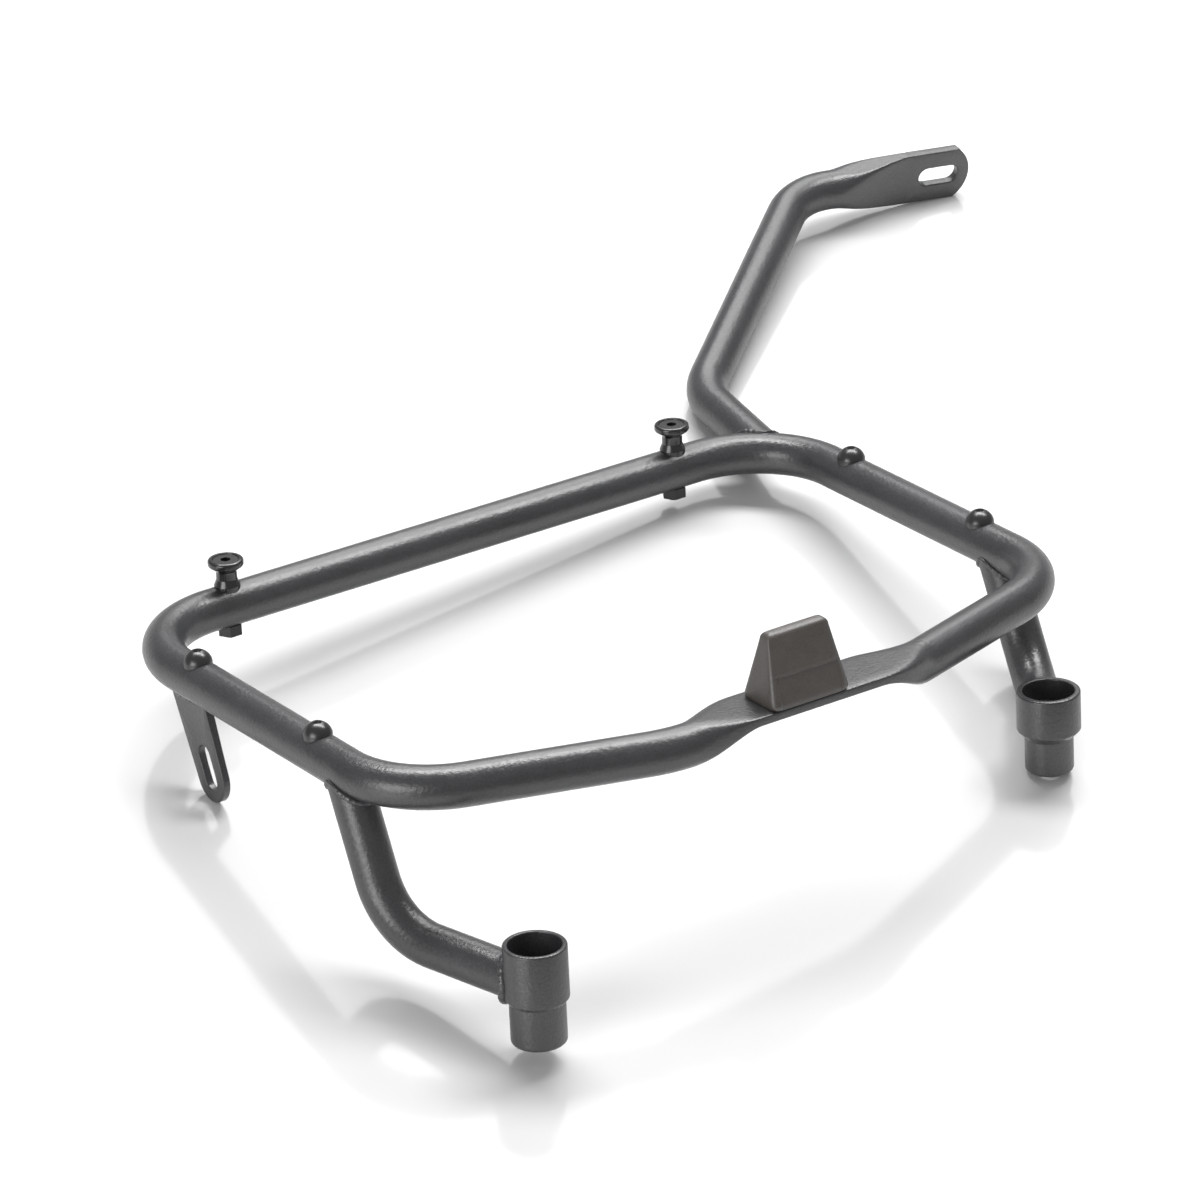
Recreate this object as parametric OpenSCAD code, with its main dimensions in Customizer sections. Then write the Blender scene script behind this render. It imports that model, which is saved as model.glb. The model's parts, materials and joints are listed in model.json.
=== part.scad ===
// Side pannier frame of a motorbike: a bent tube loop that a case hangs on,
// two legs that end in stepped sockets, an arm with a slotted end, a slotted
// tab, two spool studs, four rubber buffers and a latch block.
// Everything is first drawn in the loop's own plane and then laid on the floor
// the way the frame comes to rest on its tab, its front socket and its arm.
// Own frame of the loop: x along the spool rail, y from the latch rail to the
// spool rail, z out of the loop towards the case. All lengths are millimetres.

/* [Tube] */
// Outside diameter of every tube
tube_od = 18; // [17:0.5:19]
// Wall of every tube
tube_wall = 2; // [1.5:0.25:2.5]

/* [Loop] */
// Length of the loop between the corner points of the spool rail
loop_length = 329; // [315:1:345]
// Width of the loop from the spool rail to the corners of the latch rail
loop_width = 199.5; // [185:0.5:220]
// How far the middle of the latch rail stands out beyond its corners
latch_bow = 35.5; // [30:0.5:42]
// Length of the latch rail's middle between its two shallow bends
latch_straight = 110; // [106:1:114]
// How far the middle of the spools and of the latch rail lies behind the loop's own middle
rails_back = 1.7; // [0:0.1:3]
// Bend radius of the four corners on the tube's middle line
corner_bend = 42; // [38:1:46]
// Radius of the two shallow bends of the latch rail
rail_bend = 60; // [50:5:70]

/* [Pressed middle of the latch rail] */
// Middle of the pressed zone, ahead of the middle of the rails
flat_ahead = 11.2; // [5:0.1:16]
// Length of the flat
flat_length = 60; // [56:1:62]
// Width of the pressed tube
press_width = 25.5; // [24:0.5:26.5]
// Thickness of the pressed tube
press_thick = 4.8; // [4.4:0.2:5.6]
// Length over which the round tube turns into the flat
press_run = 26; // [20:1:26]

/* [Legs] */
// Distance of the rear leg from the loop's corner on the latch side
rear_leg_in = 32.5; // [31:0.5:40]
// Distance of the front leg from the loop's corner on the latch side
front_leg_in = 41; // [32:0.5:46]
// How far a leg leans away from the loop, degrees
leg_lean = 24.6; // [18:0.2:28]
// Depth of the rear leg's bend under the loop
rear_depth = 60; // [56:1:66]
// Depth of the front leg's bend under the loop
front_depth = 52; // [48:1:52]
// Bend radius of both legs
leg_bend = 34; // [30:1:36]

/* [Sockets] */
// Rear socket, from the rear end of the loop
rear_socket_x = 20.7; // [15:0.1:28]
// Rear socket, outwards from the corner of the latch rail
rear_socket_out = 65; // [58:0.5:75]
// Rim of the rear socket under the loop's plane
rear_rim = 45.4; // [42:0.2:48]
// Outside diameter of the rear socket's cup
rear_cup_od = 25.6; // [25:0.2:28]
// Height of the rear socket's cup
rear_cup_height = 24; // [23:0.5:28]
// Outside diameter of the rear socket's lower step
rear_step_od = 22.4; // [21:0.2:23.4]
// Height of the rear socket's lower step
rear_step_height = 18; // [12:0.5:19]
// Front socket, from the front end of the loop
front_socket_x = 30.2; // [22:0.2:36]
// Front socket, outwards from the corner of the latch rail
front_socket_out = 31.5; // [28:0.5:38]
// Rim of the front socket under the loop's plane
front_rim = 31; // [29:0.5:34]
// Outside diameter of the front socket's cup
front_cup_od = 26.6; // [26:0.2:29]
// Height of the front socket's cup
front_cup_height = 20; // [19:0.5:24]
// Outside diameter of the front socket's lower step
front_step_od = 20.2; // [19:0.2:22]
// Height of the front socket's lower step
front_step_height = 15.4; // [13:0.2:20]
// Bore of both cups
cup_bore = 21.4; // [20.4:0.2:21.8]
// Depth of both cups' bores
cup_depth = 16; // [12:0.5:17]
// Bolt hole through the bottom of both sockets
socket_hole = 8.5; // [6.5:0.5:10.5]

/* [Arm] */
// First bend of the arm, forward of the front corner point
arm_bend1_x = -2.2; // [-4:0.2:4]
// First bend of the arm, beyond the spool rail
arm_bend1_y = 50; // [46:0.5:58]
// First bend of the arm, above the loop's plane
arm_bend1_z = 5.6; // [5:0.2:9]
// Second bend of the arm, forward of the front corner point
arm_bend2_x = 118; // [110:0.5:130]
// Second bend of the arm, beyond the spool rail
arm_bend2_y = 142; // [130:0.5:150]
// Second bend of the arm, above the loop's plane
arm_bend2_z = 44; // [40:0.5:50]
// Slot centre of the arm, forward of its second bend
arm_slot_x = 71; // [66:0.5:80]
// Slot centre of the arm, back from its second bend
arm_slot_y = 13; // [8:0.5:18]
// Slot centre of the arm, under its second bend
arm_slot_z = 3; // [0:0.5:6]
// Bend radius of the arm
arm_bend = 34; // [30:1:38]
// Turn of the flat end about the arm, degrees
arm_flat_turn = 13; // [8:0.5:18]
// Length of the slot in the arm's end
arm_slot_length = 20; // [16:0.5:22]
// Width of the slot in the arm's end
arm_slot_width = 9; // [8:0.2:10]
// Distance from the slot's centre to the arm's tip
arm_tip = 15.6; // [15:0.2:18]
// Radius of the arm's tip
arm_tip_radius = 15.4; // [14.8:0.2:18]

/* [Tab] */
// Middle of the tab along the rear side, from the spool rail
tab_place = 46.5; // [44:0.5:60]
// Width of the tab where it meets the tube
tab_top_width = 27; // [24:1:36]
// Depth of the tab's tip under the loop's plane
tab_depth = 51.2; // [48:0.2:54]
// Radius of the tab's tip
tab_tip_radius = 10.2; // [9:0.1:12]
// How far the tab leans along the rear side, degrees
tab_lean = 23; // [14:1:26]
// Thickness of the tab
tab_thick = 3.4; // [3:0.2:5]
// Length of the slot in the tab
tab_slot_length = 19; // [16:0.5:21]
// Width of the slot in the tab
tab_slot_width = 8.6; // [8:0.2:9.6]
// Distance of the slot's middle from the middle of the tab's round tip
tab_slot_up = 4.6; // [3:0.2:6]

/* [Spools, buffers and latch] */
// Distance of the rear spool from the loop's rear corner
rear_spool_in = 49.8; // [49:0.1:58]
// Distance of the front spool from the loop's front corner
front_spool_in = 53.2; // [49:0.1:58]
// Diameter of a spool's head
spool_head = 15; // [14:0.5:17]
// Diameter of a spool's neck
spool_neck = 8.8; // [8.2:0.2:10]
// Height of a spool above the tube
spool_height = 12; // [11:0.5:14]
// Thread of the spool bolts
bolt_d = 6; // [5:0.5:6]
// First buffer of each short side, from the spool rail
buffer_near = 57.5; // [54:0.5:64]
// Second buffer of each short side, from the loop's corner on the latch side
buffer_far_in = 52; // [48:0.5:60]
// Diameter of a buffer
buffer_d = 12; // [9:0.5:13]
// Height of a buffer above the tube
buffer_height = 4.8; // [3.6:0.2:5.6]
// Middle of the latch block, ahead of the middle of the rails
latch_ahead = 5.2; // [3:0.1:10]
// Length of the latch block along the rail
latch_length = 38; // [34:0.5:40]
// Depth of the latch block across the rail
latch_depth = 23; // [17:0.5:25]
// Height of the latch block
latch_height = 29.4; // [26:0.2:32]

/* [Hidden] */
// Room between pieces that only touch
gap = 0.1;
// A straight run is this much thinner than the bends that it laps into
hair = 0.1;
lap = 0.4;
// Facets of the round pieces
$fn = 72;

tube_r = tube_od / 2;
bore_r = tube_r - tube_wall;

// Middle line of the loop: corner points, then the two shallow bends
corner_a = [0, 0, 0];
corner_b = [loop_length, 0, 0];
corner_c = [loop_length, -loop_width, 0];
corner_d = [0, -loop_width, 0];
rail_y = -loop_width - latch_bow;
rails_x = loop_length / 2 - rails_back;
bend_f = [rails_x + latch_straight / 2, rail_y, 0];
bend_r = [rails_x - latch_straight / 2, rail_y, 0];

// Pressed middle of the latch rail
flat_start = rails_x + flat_ahead - flat_length / 2;
flat_end = flat_start + flat_length;
press_drop = 0.4;
flat_top = tube_r - press_drop;
flat_mid = flat_top - press_thick / 2;
rise_start = flat_start - press_run;
rise_past_bend = 17;
rise_end_x = bend_f[0] + rise_past_bend;
slope = latch_bow / (loop_length - bend_f[0]);
slope_angle = atan(slope);
rise_end_y = rail_y + (rise_end_x - bend_f[0]) * slope;
slit = 0.6;

// Legs, their tops cut to the loop's tube from a little under its middle line
cope_start = 2.6;
lean_y = tan(leg_lean);
rear_top = [0, rear_leg_in - loop_width, 0];
front_top = [loop_length, front_leg_in - loop_width, 0];
rear_knee = rear_top - [0, rear_depth * lean_y, rear_depth];
front_knee = front_top - [0, front_depth * lean_y, front_depth];
rear_axis = [rear_socket_x, -loop_width - rear_socket_out, -rear_rim];
front_axis = [loop_length - front_socket_x, -loop_width - front_socket_out, -front_rim];
rear_meet_depth = 18;
front_meet_depth = 17;
rear_meet = rear_axis - [0, 0, rear_meet_depth];
front_meet = front_axis - [0, 0, front_meet_depth];

// Sockets: bevel at the bottom and at the rim
socket_bevel = 1.5;
socket_lip = 0.8;

// Fillets of weld
weld_size = 3.2;
weld_thin = 0.4;

// Arm
arm_root = [loop_length - corner_bend * (1 - sin(45)), -corner_bend * (1 - sin(45)), 0];
arm_1 = [loop_length + arm_bend1_x, arm_bend1_y, arm_bend1_z];
arm_2 = [loop_length + arm_bend2_x, arm_bend2_y, arm_bend2_z];
arm_slot = arm_2 + [arm_slot_x, -arm_slot_y, -arm_slot_z];
arm_dir = unit(arm_slot - arm_2);
arm_start = arm_root + unit(arm_1 - arm_root) * cope_start;
arm_side0 = unit(cross([0, 0, 1], arm_dir));
arm_up0 = cross(arm_dir, arm_side0);
arm_up = arm_up0 * cos(arm_flat_turn) - arm_side0 * sin(arm_flat_turn);
arm_side = cross(arm_up, arm_dir);
arm_reach = norm(arm_slot - arm_2);
arm_round_end = 24;
arm_flat_start = arm_reach - arm_slot_length / 2 - 5;
arm_chord = arm_tip - arm_tip_radius + sqrt(pow(arm_tip_radius, 2) - pow(press_width / 2, 2));

// Tab
tab_tip_mid = [0, -tab_place - (tab_depth - tab_tip_radius) * tan(tab_lean), -tab_depth + tab_tip_radius];
tab_slot_mid = tab_tip_mid + [0, sin(tab_lean), cos(tab_lean)] * tab_slot_up;
tab_weld_y = -tab_place - tube_r * tan(tab_lean);
tab_weld_short = 3;

// Spools and nuts
spool_base = 11;
spool_rear = [rear_spool_in, 0, 0];
spool_front = [loop_length - front_spool_in, 0, 0];
bolt_head = 10.6;
bolt_head_high = 2.7;
bolt_sink = 0.4;
bolt_hole = bolt_d + 2 * gap + 0.2;
nut_flats = 9.6;
nut_height = 3.6;
seat_r = tube_r + gap;

// Buffers and latch block
buffer_far = loop_width - buffer_far_in;
buffer_stem = 5;
buffer_hole = buffer_stem + 2 * gap;
latch_top_length = 30;
latch_top_depth = 4.5;
latch_top_in = 8;
latch_front_of_rail = 2.2;
latch_x = rails_x + latch_ahead;
latch_foot = flat_top;
latch_y = rail_y - latch_front_of_rail;
latch_back = latch_y + latch_depth / 2;
latch_front = latch_y - latch_depth / 2;
latch_round = 3;
pocket_length = 20;
pocket_height = 11;
pocket_low = 11.5;
pocket_depth = 9;
screw_d = 4;
screw_head = 7.6;
screw_reach = 9;
screw_spread = 22;

// Resting pose: the tab, the front socket and the arm's end carry the frame.
// A first direction from rough feet gives the lowest points of the true feet.
tab_bottom = [0, tab_tip_mid[1], -tab_depth];
socket_bottom = front_axis - [0, 0, front_cup_height + front_step_height];
arm_bottom = arm_slot + arm_dir * arm_chord - arm_up * press_width / 2;
up_0 = rest_up(tab_bottom, socket_bottom, arm_bottom);
foot_tab = tab_tip_mid - unit([0, up_0[1], up_0[2]]) * tab_tip_radius
    - [sign(up_0[0]) * tab_thick / 2, 0, 0];
foot_socket = socket_bottom - unit([up_0[0], up_0[1], 0]) * (front_step_od / 2 - socket_bevel);
foot_arm = arm_bottom - arm_side * sign(arm_side * up_0) * press_thick / 2;
up = rest_up(foot_tab, foot_socket, foot_arm);
ahead = unit([1, 0, 0] - up * up[0]);
aside = cross(up, ahead);

// Bounding box of the laid frame, for the middle of its foot print
x_low = ahead * (rear_top - [0, sin(leg_lean), cos(leg_lean)] * (cope_start + 1)) - tube_r - weld_size;
x_high = ahead * (arm_slot + arm_dir * arm_tip) + abs(ahead * arm_side) * press_thick / 2;
y_low = aside * (rear_axis - [0, 0, rear_cup_height]) - rear_cup_od / 2;
y_high = aside * arm_2 + tube_r - 4;
shift = [-(x_low + x_high) / 2, -(y_low + y_high) / 2, -(up * foot_tab)];

function unit(v) = v / norm(v);
function rest_up(p, q, r) = let (n = unit(cross(q - p, r - p))) n[2] < 0 ? -n : n;

// Distance from a bend's corner point to where its arc starts
function bend_cut(before, at, after, r) =
    r * tan(acos(unit(at - before) * unit(after - at)) / 2);

// Lays what is drawn in the loop's plane on the floor
module laid() {
    multmatrix([[ahead[0], ahead[1], ahead[2], shift[0]],
            [aside[0], aside[1], aside[2], shift[1]],
            [up[0], up[1], up[2], shift[2]],
            [0, 0, 0, 1]])
        children();
}

// Turns the z axis onto the direction from p to q and moves the origin to p
module toward(p, q) {
    d = unit(q - p);
    s = abs(d[2]) > 0.999 ? [1, 0, 0] : unit(cross([0, 0, 1], d));
    t = cross(d, s);
    multmatrix([[s[0], t[0], d[0], p[0]],
            [s[1], t[1], d[1], p[1]],
            [s[2], t[2], d[2], p[2]],
            [0, 0, 0, 1]])
        children();
}

// Round bar from p to q
module rod(p, q, r) {
    toward(p, q)
        cylinder(h = norm(q - p), r = r);
}

// Round bar bent about a corner point, on a middle line of radius bend
module elbow(before, at, after, bend, r) {
    d1 = unit(at - before);
    d2 = unit(after - at);
    turn = acos(d1 * d2);
    axis = unit(cross(d1, d2));
    out = cross(d1, axis);
    start = at - d1 * bend * tan(turn / 2);
    mid = start - out * bend;
    multmatrix([[out[0], d1[0], axis[0], mid[0]],
            [out[1], d1[1], axis[1], mid[1]],
            [out[2], d1[2], axis[2], mid[2]],
            [0, 0, 0, 1]])
        rotate_extrude(angle = turn)
            translate([bend, 0])
                circle(r = r);
}

// Straight run of a tube: a hair thinner than its bends and lapped into them
module run(p, q, r) {
    d = unit(q - p);
    rod(p - d * lap, q + d * lap, r - hair);
}

// Bar along a middle line of three points with one bend
module bent_bar(a, b, c, bend, r) {
    cut = bend_cut(a, b, c, bend);
    run(a, b - unit(b - a) * cut, r);
    elbow(a, b, c, bend, r);
    run(b + unit(c - b) * cut, c, r);
}

// Round part of the loop, from behind the flat around to before it
module loop_round(r) {
    cut_f = bend_cut(bend_f, corner_c, corner_b, corner_bend);
    cut_r = bend_cut(corner_a, corner_d, bend_r, corner_bend);
    cut_s = bend_cut(corner_d, bend_r, bend_f, rail_bend);
    rise_end = [rise_end_x, rise_end_y, 0];
    rise_from = [rise_start, rail_y, 0];
    run(rise_end, corner_c - unit(corner_c - bend_f) * cut_f, r);
    elbow(bend_f, corner_c, corner_b, corner_bend, r);
    run(corner_c + [0, cut_f, 0], corner_b - [0, corner_bend, 0], r);
    elbow(corner_c, corner_b, corner_a, corner_bend, r);
    run(corner_b - [corner_bend, 0, 0], corner_a + [corner_bend, 0, 0], r);
    elbow(corner_b, corner_a, corner_d, corner_bend, r);
    run(corner_a - [0, corner_bend, 0], corner_d + [0, cut_r, 0], r);
    elbow(corner_a, corner_d, bend_r, corner_bend, r);
    run(corner_d + unit(bend_r - corner_d) * cut_r, bend_r - unit(bend_r - corner_d) * cut_s, r);
    elbow(corner_d, bend_r, bend_f, rail_bend, r);
    run(bend_r + [cut_s, 0, 0], rise_from, r);
}

// Cross section of the pressed tube at a place along the rail
module flat_slice(x, width, thick) {
    translate([x, rail_y, flat_mid])
        cube([0.02, width, thick], center = true);
}

// Slice of the round tube, standing across the direction given by its angle
module round_slice(x, y, angle, r) {
    translate([x, y, 0])
        rotate([0, 0, angle])
            rotate([0, 90, 0])
                cylinder(h = 0.02, r = r + 0.05, center = true, $fn = 40);
}

// Both ends of the flat, where the round tube turns into it
module loop_rise(r, width, thick) {
    hull() {
        round_slice(rise_start, rail_y, 0, r);
        flat_slice(flat_start, width, thick);
    }
    hull() {
        flat_slice(flat_end, width, thick);
        round_slice(rise_end_x, rise_end_y, slope_angle, r);
    }
}

// Rear side of the loop with its upper corner, for what is welded to it
module rear_side(grow) {
    cut = bend_cut(corner_a, corner_d, bend_r, corner_bend);
    elbow(corner_b, corner_a, corner_d, corner_bend, tube_r + grow);
    run(corner_a - [0, corner_bend, 0], corner_d + [0, cut, 0], tube_r + grow);
    elbow(corner_a, corner_d, bend_r, corner_bend, tube_r + grow);
}

// Front side of the loop with its upper corner
module front_side(grow) {
    cut = bend_cut(bend_f, corner_c, corner_b, corner_bend);
    run(corner_b - [0, corner_bend, 0], corner_c + [0, cut, 0], tube_r + grow);
    elbow(corner_b, corner_c, bend_f, corner_bend, tube_r + grow);
}

// Corner of the loop that the arm is welded to
module arm_corner(grow) {
    elbow(corner_c, corner_b, corner_a, corner_bend, tube_r + grow);
    run(corner_b - [corner_bend, 0, 0], corner_b - [2 * corner_bend, 0, 0], tube_r + grow);
    run(corner_b - [0, corner_bend, 0], corner_b - [0, 2 * corner_bend, 0], tube_r + grow);
}

module loop_tube() {
    color([0.28, 0.28, 0.30])
        laid()
            difference() {
                union() {
                    loop_round(tube_r);
                    loop_rise(tube_r, press_width, press_thick);
                    translate([flat_start, rail_y - press_width / 2, flat_top - press_thick])
                        cube([flat_length, press_width, press_thick]);
                }
                loop_round(bore_r);
                loop_rise(bore_r, press_width - 4 * tube_wall, slit);
                for (s = [spool_rear, spool_front])
                    translate([s[0], 0, -tube_od])
                        cylinder(h = 2 * tube_od, r = bolt_hole / 2);
                for (x = [0, loop_length])
                    for (y = [buffer_near, buffer_far])
                        translate([x, -y, 0])
                            cylinder(h = tube_od, r = buffer_hole / 2);
                for (s = [-1, 1])
                    translate([latch_x + s * screw_spread / 2, latch_y, 0])
                        cylinder(h = tube_od, r = screw_d / 2 + gap);
            }
}

// A leg before its end is coped to the socket's cup
module leg_tube(top, knee, meet, cup_od) {
    start = top + unit(knee - top) * cope_start;
    difference() {
        bent_bar(start, knee, meet, leg_bend, tube_r);
        bent_bar(top, knee, meet, leg_bend, bore_r);
        translate(meet - [0, 0, 2 * tube_od])
            cylinder(h = 4 * tube_od, r = cup_od / 2 + gap / 2);
    }
}

module rear_leg_tube() {
    color([0.28, 0.28, 0.30])
        laid()
            difference() {
                leg_tube(rear_top, rear_knee, rear_meet, rear_cup_od);
                rear_side(gap / 2);
            }
}

module front_leg_tube() {
    color([0.28, 0.28, 0.30])
        laid()
            difference() {
                leg_tube(front_top, front_knee, front_meet, front_cup_od);
                front_side(gap / 2);
            }
}

// Stepped cup: bore from the rim, bolt hole through its bottom
module socket(at, cup_od, cup_height, step_od, step_height) {
    high = cup_height + step_height;
    lip = socket_lip;
    slant = (cup_od - step_od) / 2;
    translate(at - [0, 0, high])
        difference() {
            union() {
                cylinder(h = socket_bevel, r1 = step_od / 2 - socket_bevel, r2 = step_od / 2);
                translate([0, 0, socket_bevel])
                    cylinder(h = step_height - socket_bevel, r = step_od / 2);
                translate([0, 0, step_height])
                    cylinder(h = slant, r1 = step_od / 2, r2 = cup_od / 2);
                translate([0, 0, step_height + slant])
                    cylinder(h = cup_height - slant - lip, r = cup_od / 2);
                translate([0, 0, high - lip])
                    cylinder(h = lip, r1 = cup_od / 2, r2 = cup_od / 2 - lip);
            }
            translate([0, 0, high - cup_depth])
                cylinder(h = cup_depth + 1, r = cup_bore / 2);
            translate([0, 0, -1])
                cylinder(h = high, r = socket_hole / 2);
        }
}

module rear_socket() {
    color([0.28, 0.28, 0.30])
        laid()
            socket(rear_axis, rear_cup_od, rear_cup_height, rear_step_od, rear_step_height);
}

module front_socket() {
    color([0.28, 0.28, 0.30])
        laid()
            socket(front_axis, front_cup_od, front_cup_height, front_step_od, front_step_height);
}

// Places the arm's flat end: x along the arm, y across the flat's face, z up its width
module at_arm_end() {
    multmatrix([[arm_dir[0], arm_side[0], arm_up[0], arm_2[0]],
            [arm_dir[1], arm_side[1], arm_up[1], arm_2[1]],
            [arm_dir[2], arm_side[2], arm_up[2], arm_2[2]],
            [0, 0, 0, 1]])
        children();
}

module arm_blade() {
    intersection() {
        translate([arm_flat_start, -press_thick / 2, -press_width / 2])
            cube([arm_reach + arm_tip - arm_flat_start, press_thick, press_width]);
        translate([arm_reach + arm_tip - arm_tip_radius, 0, 0])
            rotate([90, 0, 0])
                union() {
                    cylinder(h = 2 * press_thick, r = arm_tip_radius, center = true);
                    translate([-2 * press_width + arm_chord - arm_tip + arm_tip_radius, 0, 0])
                        cube([4 * press_width, 2 * press_width, 2 * press_thick], center = true);
                }
    }
}

// End of the arm where the round tube turns into the blade
module arm_rise(r, width, thick) {
    hull() {
        translate([arm_round_end, 0, 0])
            rotate([0, 90, 0])
                cylinder(h = 0.02, r = r + 0.05, center = true, $fn = 40);
        translate([arm_flat_start, 0, 0])
            cube([0.02, thick, width], center = true);
    }
}

// Round part of the arm from a point near its root to where it turns into the blade
module arm_round(from, r) {
    cut_1 = bend_cut(from, arm_1, arm_2, arm_bend);
    cut_2 = bend_cut(arm_1, arm_2, arm_slot, arm_bend);
    middle = unit(arm_2 - arm_1);
    run(from, arm_1 - unit(arm_1 - from) * cut_1, r);
    elbow(from, arm_1, arm_2, arm_bend, r);
    run(arm_1 + middle * cut_1, arm_2 - middle * cut_2, r);
    elbow(arm_1, arm_2, arm_slot, arm_bend, r);
    run(arm_2 + arm_dir * cut_2, arm_2 + arm_dir * arm_round_end, r);
}

module arm_tube() {
    color([0.28, 0.28, 0.30])
        laid()
            difference() {
                union() {
                    arm_round(arm_start, tube_r);
                    at_arm_end()
                        union() {
                            arm_rise(tube_r, press_width, press_thick);
                            arm_blade();
                        }
                }
                arm_round(arm_root, bore_r);
                at_arm_end()
                    arm_rise(bore_r, press_width - 4 * tube_wall, slit);
                at_arm_end()
                    translate([arm_reach, 0, 0])
                        slot_bar(arm_slot_length, arm_slot_width, [1, 0, 0], press_thick);
                arm_corner(gap / 2);
            }
}

// Bar with round ends that cuts a slot, its length along dir, cut along y
module slot_bar(length, width, dir, thick) {
    half = (length - width) / 2;
    for (s = [-1, 1])
        translate(dir * half * s)
            rotate([90, 0, 0])
                cylinder(h = 2 * thick, r = width / 2, center = true);
    rotate([0, -atan2(dir[2], dir[0]), 0])
        cube([2 * half, 2 * thick, width - hair], center = true);
}

// Tapered plate under the rear side with a round tip and a slot
module tab_plate() {
    half = tab_top_width / 2;
    tip = tab_tip_mid;
    top_z = 0;
    // The plate's two sides touch the tip circle
    side_l = tab_side(-tab_place + half, tip);
    side_r = tab_side(-tab_place - half, tip);
    color([0.28, 0.28, 0.30])
        laid()
            difference() {
                union() {
                    rotate([0, -90, 0])
                        linear_extrude(height = tab_thick, center = true)
                            polygon([[top_z, -tab_place + half], side_l, [tip[2], tip[1]], side_r,
                                [top_z, -tab_place - half]]);
                    translate(tip)
                        rotate([0, 90, 0])
                            cylinder(h = tab_thick, r = tab_tip_radius, center = true);
                }
                translate(tab_slot_mid)
                    rotate([0, 0, 90])
                        slot_bar(tab_slot_length, tab_slot_width, [sin(tab_lean), 0, cos(tab_lean)], tab_thick);
                rear_side(gap / 2);
            }
}

// Where a line from (0, y) touches the tip circle, as depth and y
function tab_side(y, tip) =
    let (dz = tip[2], dy = tip[1] - y, d = sqrt(dz * dz + dy * dy), a = acos(tab_tip_radius / d),
        s = y > -tab_place ? 1 : -1, b = atan2(-dy, -dz), c = b + s * a)
    [tip[2] + tab_tip_radius * cos(c), tip[1] + tab_tip_radius * sin(c)];

// Stepped spool standing on the tube, hollow for its bolt
module spool(at) {
    base_h = 2;
    head_h = 4;
    top = tube_r + spool_height;
    difference() {
        translate([at[0], 0, 0]) {
            translate([0, 0, tube_r - 2])
                cylinder(h = base_h + 0.4, r = spool_base / 2);
            translate([0, 0, tube_r + 0.4])
                cylinder(h = 2.6, r1 = spool_base / 2, r2 = spool_neck / 2);
            translate([0, 0, tube_r + 2])
                cylinder(h = spool_height - head_h, r = spool_neck / 2);
            translate([0, 0, top - head_h])
                cylinder(h = 1.2, r1 = spool_neck / 2 + 1, r2 = spool_head / 2);
            translate([0, 0, top - head_h + 1.2])
                cylinder(h = head_h - 2, r = spool_head / 2);
            translate([0, 0, top - 0.8])
                cylinder(h = 0.8, r1 = spool_head / 2, r2 = spool_head / 2 - 0.8);
        }
        translate([at[0], 0, 0])
            cylinder(h = 4 * tube_od, r = bolt_hole / 2);
        translate([at[0], 0, top - bolt_sink - bolt_head_high])
            cylinder(h = bolt_head_high, r1 = bolt_d / 2 + gap, r2 = bolt_head / 2 + gap);
        translate([at[0], 0, top - bolt_sink])
            cylinder(h = 2 * bolt_sink, r = bolt_head / 2 + gap);
        translate([at[0] - tube_od, 0, 0])
            rotate([0, 90, 0])
                cylinder(h = 2 * tube_od, r = seat_r);
    }
}

module rear_spool() {
    color([0.08, 0.08, 0.09])
        laid()
            spool(spool_rear);
}

module front_spool() {
    color([0.08, 0.08, 0.09])
        laid()
            spool(spool_front);
}

// Countersunk bolt with a hexagon recess, through spool and tube into the nut
module spool_bolt(at) {
    top = tube_r + spool_height - bolt_sink;
    foot = -tube_r - nut_height - 1;
    translate([at[0], 0, 0])
        difference() {
            union() {
                translate([0, 0, foot])
                    cylinder(h = top - foot - bolt_head_high + gap, r = bolt_d / 2);
                translate([0, 0, top - bolt_head_high])
                    cylinder(h = bolt_head_high, r1 = bolt_d / 2, r2 = bolt_head / 2);
            }
            translate([0, 0, top - 2])
                cylinder(h = 3, r = 2.3, $fn = 6);
        }
}

module rear_spool_bolt() {
    color([0.12, 0.12, 0.13])
        laid()
            spool_bolt(spool_rear);
}

module front_spool_bolt() {
    color([0.12, 0.12, 0.13])
        laid()
            spool_bolt(spool_front);
}

// Hexagon nut under the rail, hollowed on top to sit on the tube
module spool_nut(at) {
    difference() {
        translate([at[0], 0, -tube_r - nut_height])
            cylinder(h = nut_height + 1, r = nut_flats / sqrt(3), $fn = 6);
        translate([at[0], 0, -2 * tube_od])
            cylinder(h = 2 * tube_od, r = bolt_d / 2 + gap / 2);
        translate([at[0] - tube_od, 0, 0])
            rotate([0, 90, 0])
                cylinder(h = 2 * tube_od, r = seat_r);
    }
}

module rear_spool_nut() {
    color([0.12, 0.12, 0.13])
        laid()
            spool_nut(spool_rear);
}

module front_spool_nut() {
    color([0.12, 0.12, 0.13])
        laid()
            spool_nut(spool_front);
}

// Rubber dome on top of the tube with a stem in the tube's hole
module buffer(x, y) {
    dome_r = (pow(buffer_d / 2, 2) + pow(buffer_height, 2)) / (2 * buffer_height);
    difference() {
        translate([x, -y, 0])
            union() {
                translate([0, 0, bore_r + 0.4])
                    cylinder(h = tube_wall, r = buffer_stem / 2);
                translate([0, 0, tube_r - 2])
                    cylinder(h = 2, r = buffer_d / 2);
                intersection() {
                    translate([0, 0, tube_r + buffer_height - dome_r])
                        sphere(r = dome_r);
                    translate([0, 0, tube_r])
                        cylinder(h = buffer_height + 1, r = buffer_d / 2);
                }
            }
        difference() {
            translate([x, 0, 0])
                rotate([90, 0, 0])
                    cylinder(h = loop_width, r = tube_r + gap);
            translate([x, -y, 0])
                cylinder(h = tube_od, r = buffer_stem / 2);
        }
    }
}

module rear_lower_buffer() {
    color([0.05, 0.05, 0.06])
        laid()
            buffer(0, buffer_near);
}

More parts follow.
